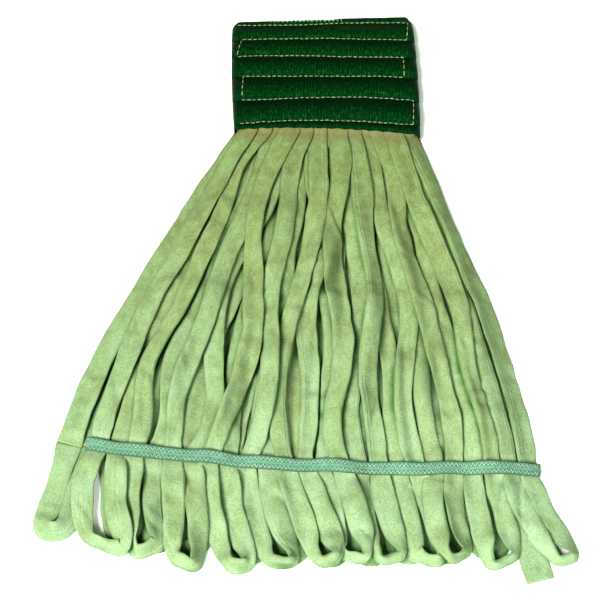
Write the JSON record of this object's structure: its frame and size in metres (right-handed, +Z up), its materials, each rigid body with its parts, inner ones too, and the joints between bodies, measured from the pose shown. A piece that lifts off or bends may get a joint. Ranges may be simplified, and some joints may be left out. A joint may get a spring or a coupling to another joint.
{
  "type": "looped-end tube mop head",
  "caption": "Wet mop head lying flat: a sewn mesh headband for a clamp handle, and two skirts of microfibre tubes ending in tail loops held in line by a tail tape.",
  "frame": {"origin": "centre of the headband's underside, on the surface that the mop lies on", "axes": "+Z up off the floor, +Y from the tail loops to the headband's far edge, +X across the mop"},
  "size_m": [0.469, 0.5581, 0.0216],
  "materials": {
    "headband_mesh": "ribbed open mesh tape, slight sheen",
    "sewing_thread": "matt lockstitch thread",
    "tube_fabric": "brushed microfibre, matt",
    "tail_tape": "twill tape, matt",
    "tape_thread": "matt zigzag thread"
  },
  "bodies": {
    "back_skirt": {"back_strand_01": "tube_fabric", "back_strand_02": "tube_fabric", "back_strand_03": "tube_fabric", "back_strand_04": "tube_fabric", "back_strand_05": "tube_fabric", "back_strand_06": "tube_fabric", "back_strand_07": "tube_fabric", "back_strand_08": "tube_fabric", "back_strand_09": "tube_fabric", "back_strand_10": "tube_fabric", "back_strand_11": "tube_fabric", "back_strand_12": "tube_fabric", "back_tail_tape": "tail_tape", "back_tail_stitching": "tape_thread"},
    "headband": {"headband_back_mesh": "headband_mesh", "headband_back_stitching": "sewing_thread", "headband_front_mesh": "headband_mesh", "headband_front_stitching": "sewing_thread", "front_strand_ends": "tube_fabric", "back_strand_ends": "tube_fabric"},
    "front_skirt": {"front_strand_01": "tube_fabric", "front_strand_02": "tube_fabric", "front_strand_03": "tube_fabric", "front_strand_04": "tube_fabric", "front_strand_05": "tube_fabric", "front_strand_06": "tube_fabric", "front_strand_07": "tube_fabric", "front_strand_08": "tube_fabric", "front_strand_09": "tube_fabric", "front_strand_10": "tube_fabric", "front_strand_11": "tube_fabric", "front_strand_12": "tube_fabric", "front_tail_tape": "tail_tape", "front_tail_stitching": "tape_thread"},
    "front_fringe": {"front_tail_loop_01": "tube_fabric", "front_tail_loop_02": "tube_fabric", "front_tail_loop_03": "tube_fabric", "front_tail_loop_04": "tube_fabric", "front_tail_loop_05": "tube_fabric", "front_tail_loop_06": "tube_fabric", "front_tail_loop_07": "tube_fabric", "front_tail_loop_08": "tube_fabric", "front_tail_loop_09": "tube_fabric", "front_tail_loop_10": "tube_fabric", "front_tail_loop_11": "tube_fabric", "front_tail_loop_12": "tube_fabric"},
    "back_fringe": {"back_tail_loop_01": "tube_fabric", "back_tail_loop_02": "tube_fabric", "back_tail_loop_03": "tube_fabric", "back_tail_loop_04": "tube_fabric", "back_tail_loop_05": "tube_fabric", "back_tail_loop_06": "tube_fabric", "back_tail_loop_07": "tube_fabric", "back_tail_loop_08": "tube_fabric", "back_tail_loop_09": "tube_fabric", "back_tail_loop_10": "tube_fabric", "back_tail_loop_11": "tube_fabric", "back_cut_end": "tube_fabric"}
  },
  "joints": [
    {"name": "headband_lift", "type": "hinge", "parent": "back_skirt", "child": "headband", "pos_m": [0, -0.0635, 0.0163], "axis": [1, 0, 0], "range_deg": [0, 90]},
    {"name": "front_skirt_lift", "type": "hinge", "parent": "back_skirt", "child": "front_skirt", "pos_m": [0, -0.0635, 0.0163], "axis": [-1, 0, 0], "range_deg": [0, 70]},
    {"name": "front_fringe_lift", "type": "hinge", "parent": "front_skirt", "child": "front_fringe", "pos_m": [0, -0.4095, 0.01465], "axis": [-1, 0, 0], "range_deg": [0, 90]},
    {"name": "back_fringe_drop", "type": "hinge", "parent": "back_skirt", "child": "back_fringe", "pos_m": [0, -0.4095, 0], "axis": [-1, 0, 0], "range_deg": [-60, 0]}
  ]
}
